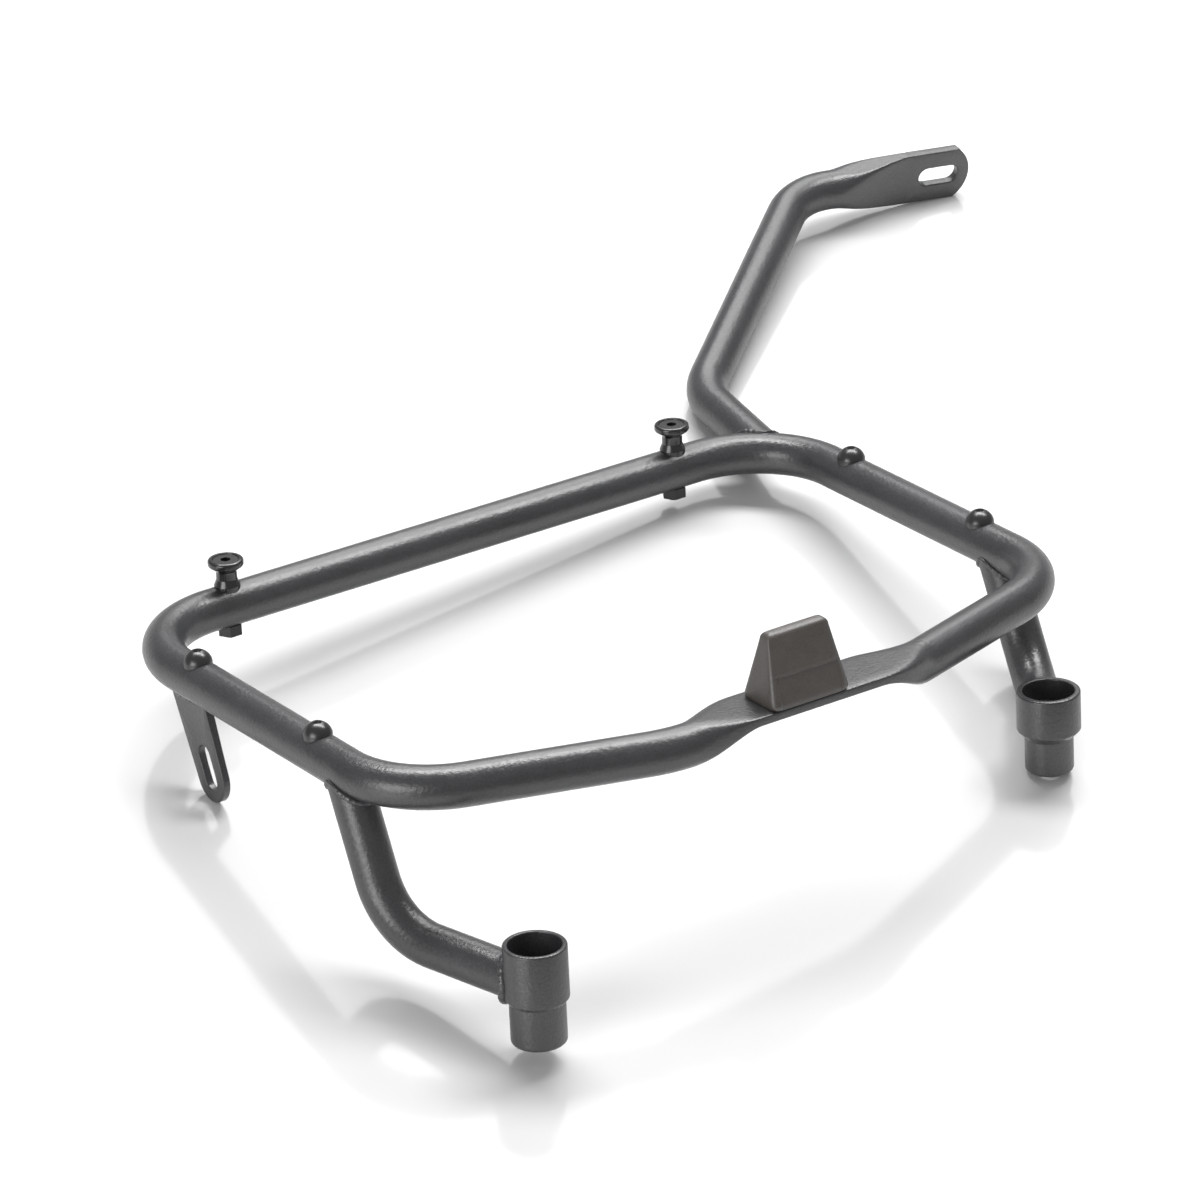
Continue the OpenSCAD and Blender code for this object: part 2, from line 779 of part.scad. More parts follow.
module rear_upper_buffer() {
    color([0.05, 0.05, 0.06])
        laid()
            buffer(0, buffer_far);
}

module front_lower_buffer() {
    color([0.05, 0.05, 0.06])
        laid()
            buffer(loop_length, buffer_near);
}

module front_upper_buffer() {
    color([0.05, 0.05, 0.06])
        laid()
            buffer(loop_length, buffer_far);
}

// Wedge that the case's lock hooks into, with a pocket on its inner side
module latch_block() {
    ridge = latch_front + latch_top_depth + latch_top_in;
    color([0.42, 0.40, 0.38])
        laid()
            difference() {
                hull() {
                    for (s = [-1, 1]) {
                        for (y = [latch_front + latch_round, latch_back - latch_round])
                            translate([latch_x + s * (latch_length / 2 - latch_round), y, latch_foot])
                                cylinder(h = 2, r = latch_round, $fn = 24);
                        for (y = [ridge - latch_top_depth + latch_round, ridge])
                            translate([latch_x + s * (latch_top_length / 2 - latch_round), y,
                                    latch_foot + latch_height - latch_round])
                                sphere(r = latch_round, $fn = 24);
                    }
                }
                translate([latch_x - pocket_length / 2, latch_back - pocket_depth, latch_foot + pocket_low])
                    cube([pocket_length, 2 * pocket_depth, pocket_height]);
                for (s = [-1, 1])
                    translate([latch_x + s * screw_spread / 2, latch_y, latch_foot - 1])
                        cylinder(h = screw_reach, r = screw_d / 2 + gap / 2);
            }
}

// Two screws from below the flat into the latch block
module latch_screws() {
    color([0.12, 0.12, 0.13])
        laid()
            for (s = [-1, 1])
                translate([latch_x + s * screw_spread / 2, latch_y, flat_top - press_thick])
                    difference() {
                        union() {
                            translate([0, 0, -2.4])
                                cylinder(h = 2.4, r = screw_head / 2);
                            cylinder(h = press_thick + screw_reach - 2, r = screw_d / 2);
                        }
                        translate([0, 0, -3])
                            cylinder(h = 2, r = 1.6, $fn = 6);
                    }
}

// Fillet of weld around a tube, its length taken along the tube from p
module weld_collar(p, q, from, size, length) {
    d = unit(q - p);
    toward(p + d * from, q)
        cylinder(h = length, r1 = tube_r + size, r2 = tube_r + weld_thin);
}

module leg_loop_weld(top, knee) {
    difference() {
        weld_collar(top, knee, cope_start + 1, weld_size, 10);
        rod(top, knee, tube_r);
    }
}

module rear_leg_loop_weld() {
    color([0.28, 0.28, 0.30])
        laid()
            difference() {
                leg_loop_weld(rear_top, rear_knee);
                rear_side(0);
            }
}

module front_leg_loop_weld() {
    color([0.28, 0.28, 0.30])
        laid()
            difference() {
                leg_loop_weld(front_top, front_knee);
                front_side(0);
            }
}

module leg_socket_weld(knee, meet, cup_od) {
    difference() {
        weld_collar(meet, knee, cup_od / 2 - 1.2, weld_size, weld_size);
        rod(meet, knee, tube_r);
        translate(meet - [0, 0, tube_od])
            cylinder(h = 2 * tube_od, r = cup_od / 2);
    }
}

module rear_leg_socket_weld() {
    color([0.28, 0.28, 0.30])
        laid()
            leg_socket_weld(rear_knee, rear_meet, rear_cup_od);
}

module front_leg_socket_weld() {
    color([0.28, 0.28, 0.30])
        laid()
            leg_socket_weld(front_knee, front_meet, front_cup_od);
}

module arm_loop_weld() {
    color([0.28, 0.28, 0.30])
        laid()
            difference() {
                weld_collar(arm_root, arm_1, cope_start + 2, weld_size, 8);
                rod(arm_root, arm_1, tube_r);
                arm_corner(0);
            }
}

module tab_loop_weld() {
    bead = 2.6;
    color([0.28, 0.28, 0.30])
        laid()
            difference() {
                for (s = [-1, 1])
                    translate([s * (tab_thick / 2), tab_weld_y, -tube_r + 0.5])
                        rotate([90, 0, 0])
                            cylinder(h = tab_top_width - tab_weld_short, r = bead, center = true);
                cube([tab_thick, 2 * loop_length, 4 * tube_od], center = true);
                rear_side(0);
            }
}

loop_tube();
rear_leg_tube();
front_leg_tube();
rear_socket();
front_socket();
arm_tube();
tab_plate();
latch_block();
latch_screws();
rear_spool();
front_spool();
rear_spool_bolt();
front_spool_bolt();
rear_spool_nut();
front_spool_nut();
rear_lower_buffer();
rear_upper_buffer();
front_lower_buffer();
front_upper_buffer();
rear_leg_loop_weld();
rear_leg_socket_weld();
front_leg_loop_weld();
front_leg_socket_weld();
arm_loop_weld();
tab_loop_weld();
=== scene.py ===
# %% [markdown]
# Side pannier frame of a motorbike
# The frame is one bent tube loop with two legs, an arm and a tab welded to it.
# It carries two spools, four rubber buffers and a latch block for a case.
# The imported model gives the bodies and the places. This script gives the looks:
# smooth tubes with pressed zones, weld beads and a textured powder coat.

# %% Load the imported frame
import json
import math
import bpy
import numpy as np
from mathutils import Matrix, Vector


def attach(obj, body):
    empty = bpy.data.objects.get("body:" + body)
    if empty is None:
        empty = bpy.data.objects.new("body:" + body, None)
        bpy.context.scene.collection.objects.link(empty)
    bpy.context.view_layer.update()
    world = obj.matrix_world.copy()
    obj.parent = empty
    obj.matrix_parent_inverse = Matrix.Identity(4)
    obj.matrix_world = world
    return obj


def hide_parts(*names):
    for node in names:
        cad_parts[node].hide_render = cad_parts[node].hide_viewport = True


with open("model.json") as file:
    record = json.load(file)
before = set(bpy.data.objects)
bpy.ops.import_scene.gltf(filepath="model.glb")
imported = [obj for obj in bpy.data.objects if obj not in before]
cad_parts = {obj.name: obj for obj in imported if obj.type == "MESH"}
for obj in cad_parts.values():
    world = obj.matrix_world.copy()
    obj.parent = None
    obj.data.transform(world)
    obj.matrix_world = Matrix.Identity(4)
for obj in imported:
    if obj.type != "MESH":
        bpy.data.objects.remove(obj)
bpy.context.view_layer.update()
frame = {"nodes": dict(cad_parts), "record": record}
print("CAD nodes:", len(frame["nodes"]))

# %% [markdown]
# The loop's own axes
# Sizes of the object are in millimetres in the loop's own plane: x along the
# spool rail, y from the latch rail to the spool rail, z out towards the case. The
# frame lies tilted on the floor, so the two spool mounts in the record give the
# turn and the shift from that plane to the floor.

# %% Own axes of the loop, from the two spools
MM = 0.001
tube_r = 9.0
loop_length, loop_width = 329.0, 199.5
rails_back = 1.7
rails_x = loop_length / 2 - rails_back
rear_spool_in, front_spool_in = 49.8, 53.2
neck_above_tube = 5.0
spool_neck_z = tube_r + neck_above_tube
mounts = {m["name"]: m for m in frame["record"]["mounts"]}
rear_neck = np.array(mounts["rear_spool_neck"]["pos_m"]) / MM
front_neck = np.array(mounts["front_spool_neck"]["pos_m"]) / MM
along = (front_neck - rear_neck) / np.linalg.norm(front_neck - rear_neck)
out_of_loop = np.array(mounts["rear_spool_neck"]["axis"])
across = np.cross(out_of_loop, along)
axes = np.stack([along, across, out_of_loop])
up = np.array([0, 0, 1.0])
origin = rear_neck - np.array([rear_spool_in, 0, spool_neck_z]) @ axes
print("tilt of the loop, degrees:", round(math.degrees(math.acos(out_of_loop[2])), 2))


def to_floor(points):
    """Row-frame metres of points in the loop's plane: origin plus x, y and z times the three axes."""
    return (origin + np.asarray(points, float) @ axes) * MM


def unit(v):
    """v over its length, along the last axis."""
    v = np.asarray(v, float)
    return v / np.linalg.norm(v, axis=-1, keepdims=True)


# %% [markdown]
# From a grid of points to a mesh
# Each new surface is a function of two parameters, worked out as whole arrays.
# A grid of rows and columns then only needs its quads: four neighbours each.
# A grid that closes on itself both ways is a ring and needs no caps.

# %% Grid to mesh
by_slot = {}


def grid_mesh(name, points, closed_rows=True, slot="frame_paint", sharp=40.0, flip=False):
    """Quads between neighbours of points[row, column]; columns close, rows close or get caps.
    Edges that fold by more than sharp degrees stay sharp in the shading."""
    rows, cols = points.shape[:2]
    index = np.arange(rows * cols).reshape(rows, cols)
    below = index if closed_rows else index[:-1]
    above = np.roll(index, -1, 0) if closed_rows else index[1:]
    quads = np.stack([below, np.roll(below, -1, 1), np.roll(above, -1, 1), above], -1).reshape(-1, 4)
    faces = [tuple(q) for q in quads.tolist()]
    if not closed_rows:
        faces.append(tuple(index[0, ::-1].tolist()))
        faces.append(tuple(index[-1].tolist()))
    if flip:
        faces = [f[::-1] for f in faces]
    mesh = bpy.data.meshes.new(name)
    mesh.from_pydata(to_floor(points.reshape(-1, 3)).tolist(), [], faces)
    mesh.validate()
    mesh.polygons.foreach_set("use_smooth", np.ones(len(mesh.polygons), bool))
    mesh.set_sharp_from_angle(angle=math.radians(sharp))
    piece = bpy.data.objects.new(name, mesh)
    bpy.context.scene.collection.objects.link(piece)
    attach(piece, "root")
    by_slot.setdefault(slot, []).append(piece)
    print(name, len(faces), "faces")
    return piece


# %% [markdown]
# A path of straight runs and bends
# A bender turns a tube about a die of fixed radius, so the middle line is made
# of straight lines and arcs that are tangent to them. A spline would look
# softer than the real thing, so the arcs are worked out as true circles.

# %% Middle line with true arcs
line_step, arc_step, closest = 2.0, 1.2, 0.3
least_arc_points = 6


def corner_arc(before, at, after, bend, count=None):
    """Points of the arc of radius bend that is tangent to both sides of a corner. It starts
    bend * tan(turn / 2) before the corner. Without a count, its points lie arc_step apart."""
    d1, d2 = unit(at - before), unit(after - at)
    turn = math.acos(float(np.clip(d1 @ d2, -1, 1)))
    inward = unit(d2 - d1 * (d1 @ d2))
    centre = at - d1 * bend * math.tan(turn / 2) + inward * bend
    count = count or max(least_arc_points, int(bend * turn / arc_step))
    angle = np.linspace(0, turn, count)[:, None]
    return centre + bend * (np.sin(angle) * d1 - np.cos(angle) * inward)


def bent_line(corners, bends, closed=False):
    """Points and tangents along straight runs, with an arc of its own bend radius at each corner."""
    corners = np.asarray(corners, float)
    count = len(corners)
    inner = range(count) if closed else range(1, count - 1)
    stops = [] if closed else [corners[:1]]
    for i in inner:
        bend = bends[i] if closed else bends[i - 1]
        stops.append(corner_arc(corners[i - 1], corners[i], corners[(i + 1) % count], bend))
    stops.append(stops[0][:1] if closed else corners[-1:])
    raw = np.concatenate(stops)
    length = np.concatenate([[0], np.cumsum(np.linalg.norm(np.diff(raw, axis=0), axis=1))])
    keep = np.concatenate([[True], np.diff(length) > 1e-6])
    raw, length = raw[keep], length[keep]
    even = np.linspace(0, length[-1], int(length[-1] / line_step) + 1)
    places = np.union1d(even, length)
    places = places[np.concatenate([[True], np.diff(places) > closest])]
    if closed:
        places = places[places < length[-1] - closest]
    line = np.stack([np.interp(places, length, raw[:, k]) for k in range(3)], -1)
    ahead = np.roll(line, -1, 0) if closed else np.concatenate([line[1:], 2 * line[-1:] - line[-2:-1]])
    behind = np.roll(line, 1, 0) if closed else np.concatenate([2 * line[:1] - line[1:2], line[:-1]])
    return line, unit(ahead - behind)


def smooth_step(x):
    """0 before 0, 1 after 1, and 3x^2 - 2x^3 between."""
    x = np.clip(x, 0, 1)
    return x * x * (3 - 2 * x)


def squircle(t, power):
    """x = sign(cos t) |cos t|^(2/n) and y the same with sin, for the power n: a circle where n is
    2, and a rectangle with round corners where n is large."""
    x, y = np.cos(t), np.sin(t)
    return np.sign(x) * np.abs(x) ** (2 / power), np.sign(y) * np.abs(y) ** (2 / power)


def pressed_section(flat, half_width, half_thick, squareness=4.0, widen=1.0, sides=72):
    """Sections that go from a circle to a pressed tube: a superellipse |u/a|^n + |w/b|^n = 1
    whose half axes and power n slide from the circle's to the flat's as flat goes from 0 to 1.
    With widen above 1 the width is full before the thickness is down."""
    turn = np.linspace(0, 2 * math.pi, sides, endpoint=False)[None]
    flat = np.asarray(flat)[:, None]
    a = tube_r + (half_width - tube_r) * np.minimum(flat * widen, 1)
    b = tube_r + (half_thick - tube_r) * flat
    x, y = squircle(turn, 2 + squareness * flat)
    return a * x, b * y


# %% [markdown]
# The loop
# One tube bent six times. The middle of the latch rail is pressed flat from
# below, so its top stays nearly level with the round tube and its bottom comes up. A
# section carried along the closed path does both: it starts round, flattens
# over the run of the press, and comes back to round.

# %% Loop tube
latch_bow, latch_straight = 35.5, 110.0
corner_bend, rail_bend = 42.0, 60.0
press_width, press_thick, press_drop = 25.5, 4.8, 0.4
flat_ahead, flat_length = 11.2, 60.0
flat_start = rails_x + flat_ahead - flat_length / 2
flat_end = flat_start + flat_length
rise_rear, rise_front = 28.0, 32.0
rail_y = -loop_width - latch_bow
flat_mid = tube_r - press_drop - press_thick / 2
corners = [(0, 0, 0), (0, -loop_width, 0), (rails_x - latch_straight / 2, rail_y, 0),
           (rails_x + latch_straight / 2, rail_y, 0), (loop_length, -loop_width, 0), (loop_length, 0, 0)]
bends = [corner_bend, corner_bend, rail_bend, rail_bend, corner_bend, corner_bend]
line, heading = bent_line(corners, bends, closed=True)
on_rail = line[:, 1] < -loop_width - latch_bow / 3
flat = np.minimum(smooth_step((line[:, 0] - (flat_start - rise_rear)) / rise_rear),
                  smooth_step((flat_end + rise_front - line[:, 0]) / rise_front)) * on_rail
u, w = pressed_section(flat, press_width / 2, press_thick / 2)
side = np.cross(heading, up)
middle = line + flat[:, None] * flat_mid * up
surface = middle[:, None] + u[..., None] * side[:, None] + w[..., None] * up
loop = grid_mesh("loop", surface, flip=True)
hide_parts("loop_tube")

# %% [markdown]
# Legs
# Both legs leave the loop at a lean, bend once and run into their sockets. Their
# ends disappear inside the loop and the sockets, so each is one round section
# carried along a bent line whose ends stop inside those pieces.

# %% Legs
leg_lean = math.tan(math.radians(24.6))
leg_bend = 34.0
rear_leg_in, front_leg_in = 32.5, 41.0
rear_depth, front_depth = 60.0, 52.0
rear_socket_x, rear_socket_out, rear_rim_low = 20.7, 65.0, 45.4
front_socket_x, front_socket_out, front_rim_low = 30.2, 31.5, 31.0
rear_meet_low, front_meet_low = 18.0, 17.0
leg_start_in, leg_end_in = 1.0, 6.0
rear_top = np.array([0, rear_leg_in - loop_width, 0])
front_top = np.array([loop_length, front_leg_in - loop_width, 0])
rear_knee = rear_top - [0, rear_depth * leg_lean, rear_depth]
front_knee = front_top - [0, front_depth * leg_lean, front_depth]
rear_rim = np.array([rear_socket_x, -loop_width - rear_socket_out, -rear_rim_low])
front_rim = np.array([loop_length - front_socket_x, -loop_width - front_socket_out, -front_rim_low])
rear_meet = rear_rim - [0, 0, rear_meet_low]
front_meet = front_rim - [0, 0, front_meet_low]


def round_tube(name, points, bends, replaced):
    """A circle of radius tube_r carried along a bent line. It starts after the first point and
    ends before the last one, both inside the pieces that it meets."""
    points = np.array(points, float)
    points[0] += unit(points[1] - points[0]) * leg_start_in
    points[-1] -= unit(points[-1] - points[-2]) * leg_end_in
    centre, forward = bent_line(points, bends)
    normal = unit(np.cross(points[1] - points[0], points[2] - points[1]))
    other = np.cross(forward, normal)
    turn = np.linspace(0, 2 * math.pi, 64, endpoint=False)
    ring = np.cos(turn)[None, :, None] * normal + np.sin(turn)[None, :, None] * other[:, None]
    piece = grid_mesh(name, centre[:, None] + tube_r * ring, closed_rows=False, flip=True)
    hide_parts(replaced)


round_tube("rear_leg", [rear_top, rear_knee, rear_meet], [leg_bend], "rear_leg_tube")
round_tube("front_leg", [front_top, front_knee, front_meet], [leg_bend], "front_leg_tube")

# %% [markdown]
# The arm
# A bent tube whose far end is pressed to a standing blade. The same section as
# on the loop goes from round to flat; its flat side turns with the blade. The
# blade with its slot is a plate of its own form that starts inside the flat.

# %% Arm tube
arm_bend1_x, arm_bend1_y, arm_bend1_z = -2.2, 50.0, 5.6
arm_bend2_x, arm_bend2_y, arm_bend2_z = 118.0, 142.0, 44.0
arm_slot_x, arm_slot_y, arm_slot_z = 71.0, -13.0, -3.0
corner_inset = corner_bend * (1 - math.sin(math.radians(45)))
arm_root = np.array([loop_length - corner_inset, -corner_inset, 0])
arm_1 = np.array([loop_length + arm_bend1_x, arm_bend1_y, arm_bend1_z])
arm_2 = np.array([loop_length + arm_bend2_x, arm_bend2_y, arm_bend2_z])
arm_slot = arm_2 + [arm_slot_x, arm_slot_y, arm_slot_z]
arm_bend, arm_turn = 34.0, math.radians(13.0)
press_start, turn_run = 18.0, 20.0
blade_overlap, tube_in_blade = 5.0, 3.0
slimmer, thinner = 0.05, 0.15
slot_length, slot_width = 20.0, 9.0
arm_dir = unit(arm_slot - arm_2)
side_0 = unit(np.cross(up, arm_dir))
up_0 = np.cross(arm_dir, side_0)
arm_up = up_0 * math.cos(arm_turn) - side_0 * math.sin(arm_turn)
reach = np.linalg.norm(arm_slot - arm_2)
blade_start = reach - slot_length / 2 - blade_overlap
press_end = blade_start + tube_in_blade
line, heading = bent_line([arm_root, arm_1, arm_2, arm_2 + arm_dir * press_end], [arm_bend, arm_bend])
past = (line - arm_2) @ arm_dir
flat = smooth_step((past - press_start) / (press_end - press_start)) * (past > 0)
lean = smooth_step(past / turn_run)[:, None]
up_ref = unit((1 - lean) * up + lean * arm_up)
side = unit(np.cross(up_ref, heading))
rise = np.cross(heading, side)
u, w = pressed_section(flat, press_width / 2 - slimmer, press_thick / 2 - thinner,
                       squareness=12.0, widen=1.03)
surface = line[:, None] + u[..., None] * rise[:, None] + w[..., None] * side[:, None]
arm = grid_mesh("arm", surface, closed_rows=False)
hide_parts("arm_tube")

# %% [markdown]
# Slotted plates
# The blade and the tab are flat plates with one slot. Both the outline and the
# slot are seen as radii around the slot's middle. A small section with rounded
# edges is carried once around between the two, which closes on itself.

# %% Plate with one slot
def polar(outline, angles):
    """Distance from the origin to a star-shaped outline at the given angles, by interpolation."""
    around = np.arctan2(outline[:, 1], outline[:, 0])
    order = np.argsort(around)
    around, far = around[order], np.linalg.norm(outline[order], axis=1)
    three_turns = np.concatenate([around - 2 * math.pi, around, around + 2 * math.pi])
    return np.interp(angles, three_turns, np.tile(far, 3))


def arc(centre, radius, start, end, count=40):
    """Points on a circle from one angle to another."""
    turn = np.linspace(start, end, count)[:, None]
    return np.asarray(centre) + radius * np.concatenate([np.cos(turn), np.sin(turn)], 1)


def dense(corners, count=80):
    """Straight lines between corner points, with count points on each."""
    share = np.linspace(0, 1, count, endpoint=False)[:, None]
    return np.concatenate([a + (b - a) * share for a, b in zip(corners, np.roll(corners, -1, 0))])


def stadium(length, width):
    """Outline of a slot: two half circles joined by straight sides."""
    half = (length - width) / 2
    right = arc([half, 0], width / 2, -math.pi / 2, math.pi / 2)
    left = arc([-half, 0], width / 2, math.pi / 2, 3 * math.pi / 2)
    return dense(np.concatenate([right, left]), 40)


def slotted_plate(name, outline, hole, corners, thick, edge, at, x_dir, y_dir):
    """For each angle a closed section from the outline to the hole and back, with edges rounded
    by quarter circles, placed at a point with two directions in the plate's plane."""
    corner_angles = np.arctan2(corners[:, 1], corners[:, 0])
    angles = np.union1d(np.linspace(-math.pi, math.pi, 360, endpoint=False), corner_angles)
    outer, inner = polar(outline, angles)[:, None], polar(hole, angles)[:, None]
    quarter = np.linspace(0, math.pi / 2, 5)
    rim_in = edge * (1 - np.cos(quarter))
    rim_up = thick / 2 - edge + edge * np.sin(quarter)
    radius = np.concatenate([outer - rim_in, inner + rim_in[::-1], inner + rim_in, outer - rim_in[::-1]], 1)
    height = np.concatenate([rim_up, rim_up[::-1], -rim_up, -rim_up[::-1]])[None, :, None]
    around = np.stack([np.cos(angles), np.sin(angles)], 1)[:, None] * radius[..., None]
    in_plane = around[..., :1] * x_dir + around[..., 1:] * y_dir
    points = np.asarray(at) + in_plane + height * np.cross(x_dir, y_dir)
    return grid_mesh(name, points, sharp=30.0)


# %% [markdown]
# The blade
# The blade ends in a shallow arc that meets its two long sides. Its other end
# lies inside the flattened tube, so no seam shows there.

# %% Blade of the arm
tip, tip_radius = 15.6, 15.4
blade_behind, blade_edge = 1.5, 0.7
tip_points, side_points = 80, 120
half = press_width / 2
tip_centre = tip - tip_radius
chord = tip_centre + math.sqrt(tip_radius ** 2 - half ** 2)
spread = math.atan2(half, chord - tip_centre)
start_x = blade_start - blade_behind - reach
nose = arc([tip_centre, 0], tip_radius, -spread, spread, tip_points)
blade_corners = np.array([[chord, half], [start_x, half], [start_x, -half], [chord, -half]])
back = dense(blade_corners, side_points)[:3 * side_points]
outline = np.concatenate([nose, back])
blade = slotted_plate("arm_blade", outline, stadium(slot_length, slot_width), blade_corners, press_thick,
                      blade_edge, arm_slot, arm_dir, arm_up)
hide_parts("arm_tube")

# %% [markdown]
# The tab
# A tapered plate under the rear side. Its straight edges touch the round tip,
# so the outline is the hull of two points at the tube and the circle at the tip.

# %% Tab under the rear side
tab_place, tab_top_width, tab_depth, tab_tip = 46.5, 27.0, 51.2, 10.2
tab_lean, tab_thick = math.radians(23.0), 3.4
tab_slot_length, tab_slot_width, tab_slot_up = 19.0, 8.6, 4.6
tab_edge = 0.6
tip_mid = np.array([-tab_place - (tab_depth - tab_tip) * math.tan(tab_lean), -tab_depth + tab_tip])
slot_dir = np.array([math.sin(tab_lean), math.cos(tab_lean)])
slot_mid = tip_mid + slot_dir * tab_slot_up
ends = []
for top_y, turn in ((-tab_place + tab_top_width / 2, 1), (-tab_place - tab_top_width / 2, -1)):
    top = np.array([top_y, 0.0])
    gap = top - tip_mid
    reach_top = np.linalg.norm(gap)
    angle = math.atan2(gap[1], gap[0]) - turn * math.acos(tab_tip / reach_top)
    ends.append((top, angle))
(right_top, right_angle), (left_top, left_angle) = ends
round_tip = arc(tip_mid, tab_tip, right_angle, left_angle - 2 * math.pi, tip_points)
touch_right, touch_left = round_tip[0], round_tip[-1]
straight = dense(np.array([touch_left, left_top, right_top, touch_right]), side_points)[:3 * side_points]
outline = np.concatenate([round_tip, straight]) - slot_mid
turned = np.array([[slot_dir[0], slot_dir[1]], [slot_dir[1], -slot_dir[0]]])
outline = outline @ turned.T
top_corners = (np.array([left_top, right_top]) - slot_mid) @ turned.T
along_slot = np.array([0, slot_dir[0], slot_dir[1]])
across_slot = np.array([0, slot_dir[1], -slot_dir[0]])
tab = slotted_plate("tab", outline, stadium(tab_slot_length, tab_slot_width), top_corners, tab_thick,
                    tab_edge, [0, *slot_mid], along_slot, across_slot)
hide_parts("tab_plate")

# %% [markdown]
# Turned pieces
# Sockets, spools and buffers come off a lathe or out of a round mould, so each
# is one profile carried around an axis. Real edges are never sharp, so the
# corners of the profile are rounded first: that is what catches the light.

# %% Lathe with rounded corners
def soften(profile, radii, steps=5):
    """Each corner of a closed profile becomes an arc of its radius, or stays where that is 0."""
    profile = np.asarray(profile, float)
    parts = []
    for i, size in enumerate(radii):
        before, at, after = profile[i - 1], profile[i], profile[(i + 1) % len(profile)]
        parts.append(corner_arc(before, at, after, size, steps) if size > 0 else at[None])
    return np.concatenate(parts)


def turned_piece(name, profile, radii, at, slot="frame_paint", steps=5, sides=96):
    """The profile's radius and height carried around the z axis at a place. The piece stands for
    the CAD node of the same name."""
    ring = soften(profile, radii, steps)
    turn = np.linspace(0, 2 * math.pi, sides, endpoint=False)[:, None]
    points = np.stack([at[0] + ring[:, 0] * np.cos(turn), at[1] + ring[:, 0] * np.sin(turn),
                       at[2] + ring[:, 1] + 0 * turn], -1)
    piece = grid_mesh(name, points, slot=slot, sharp=50.0)
    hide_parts(name)


# %% [markdown]
# Sockets
# Each socket is a cup on a narrower step. Its profile goes in over the lip, down
# the bore, through the bolt hole, out under the step and back up the outside.

# %% Stepped sockets
cup_bore_r, cup_depth, bolt_hole_r = 21.4 / 2, 16.0, 8.5 / 2
rear_cup_od, rear_cup_high, rear_step_od, rear_step_high = 25.6, 24.0, 22.4, 18.0
front_cup_od, front_cup_high, front_step_od, front_step_high = 26.6, 20.0, 20.2, 15.4
below_cup = 0.2
socket_radii = [0.9, 0.6, 0.5, 0.3, 0.3, 1.6, 0.4, 0.9]


def stepped_socket(name, rim, cup_od, cup_high, step_od, step_high):
    """A cup with a lower step, hanging from the middle of its rim."""
    cup, step, high = cup_od / 2, step_od / 2, cup_high + step_high
    slant = cup - step
    profile = [(cup, 0), (cup_bore_r, 0), (cup_bore_r, -cup_depth), (bolt_hole_r, -cup_depth),
               (bolt_hole_r, -high), (step, -high), (step, -cup_high - below_cup), (cup, -cup_high + slant)]
    turned_piece(name, profile, socket_radii, rim, steps=6, sides=128)


stepped_socket("rear_socket", rear_rim, rear_cup_od, rear_cup_high, rear_step_od, rear_step_high)
stepped_socket("front_socket", front_rim, front_cup_od, front_cup_high, front_step_od, front_step_high)

# %% [markdown]
# Spools
# The case hooks under the head of each spool. The profile goes in over the
# head, down the seat of the countersunk bolt and its bore, and up the outside.

# %% Spools
spool_high, spool_head, spool_neck, spool_base = 12.0, 15.0, 8.8, 11.0
spool_bore_r, bolt_seat_r, bolt_sink, bolt_cone = 3.2, 5.5, 0.5, 3.1
spool_foot, base_high, slope_high = 1.8, 0.5, 3.2
neck_end, head_under, head_edge, head_bevel = 5.0, 3.0, 2.4, 0.4
spool_radii = [1.1, 0.15, 0, 0.1, 0, 0, 0.5, 1.6, 1.4, 0.3, 0.3]
top = tube_r + spool_high
profile = [(spool_head / 2, top), (bolt_seat_r, top), (bolt_seat_r, top - bolt_sink),
           (spool_bore_r, top - bolt_cone), (spool_bore_r, tube_r - spool_foot),
           (spool_base / 2, tube_r - spool_foot), (spool_base / 2, tube_r + base_high),
           (spool_neck / 2, tube_r + slope_high), (spool_neck / 2, top - neck_end),
           (spool_head / 2 - head_bevel, top - head_under), (spool_head / 2, top - head_edge)]
for end, x in (("rear", rear_spool_in), ("front", loop_length - front_spool_in)):
    turned_piece(end + "_spool", profile, spool_radii, [x, 0, 0], slot="spool_black", steps=6)

# %% [markdown]
# Rubber buffers
# Each is a low dome with a dimple in its middle, where the mould's pin was. The
# dome is an arc of a circle through its rim and its top.

# %% Buffers
buffer_d, buffer_high, buffer_foot = 12.0, 4.8, 2.2
buffer_near, buffer_far_in = 57.5, 52.0
dimple_r, dimple_deep, dimple_edge, dimple_slope, pin_r = 1.5, 1.1, 0.4, 0.3, 0.05
dome_r = (buffer_d ** 2 / 4 + buffer_high ** 2) / (2 * buffer_high)
angle = np.linspace(math.asin((dimple_r + dimple_edge) / dome_r), math.asin(buffer_d / 2 / dome_r), 16)
dome = np.stack([dome_r * np.sin(angle), tube_r + buffer_high - dome_r + dome_r * np.cos(angle)], 1)
dome_top, foot = dome[0, 1], tube_r - buffer_foot
dimple = np.array([[pin_r, dome_top - dimple_deep], [dimple_r - dimple_slope, dome_top - dimple_deep],
                   [dimple_r, dome_top - dimple_edge]])
profile = np.concatenate([dimple, dome, [[buffer_d / 2, foot], [pin_r, foot]]])[::-1]
for end, x in (("rear", 0.0), ("front", loop_length)):
    for level, y in (("lower", buffer_near), ("upper", loop_width - buffer_far_in)):
        turned_piece(f"{end}_{level}_buffer", profile, [0] * len(profile), [x, -y, 0], slot="buffer_rubber")

# %% [markdown]
# The latch block
# A moulded block, longer and deeper at its foot than at its top. Each level is
# a rounded rectangle of 2 * half_x by 2 * half_y, so the sides are one grid of
# angle and height; the top's edge rolls over by shrinking the last levels. The
# front has a shallow panel under a thin lip: both only push the front's points
# in or out.

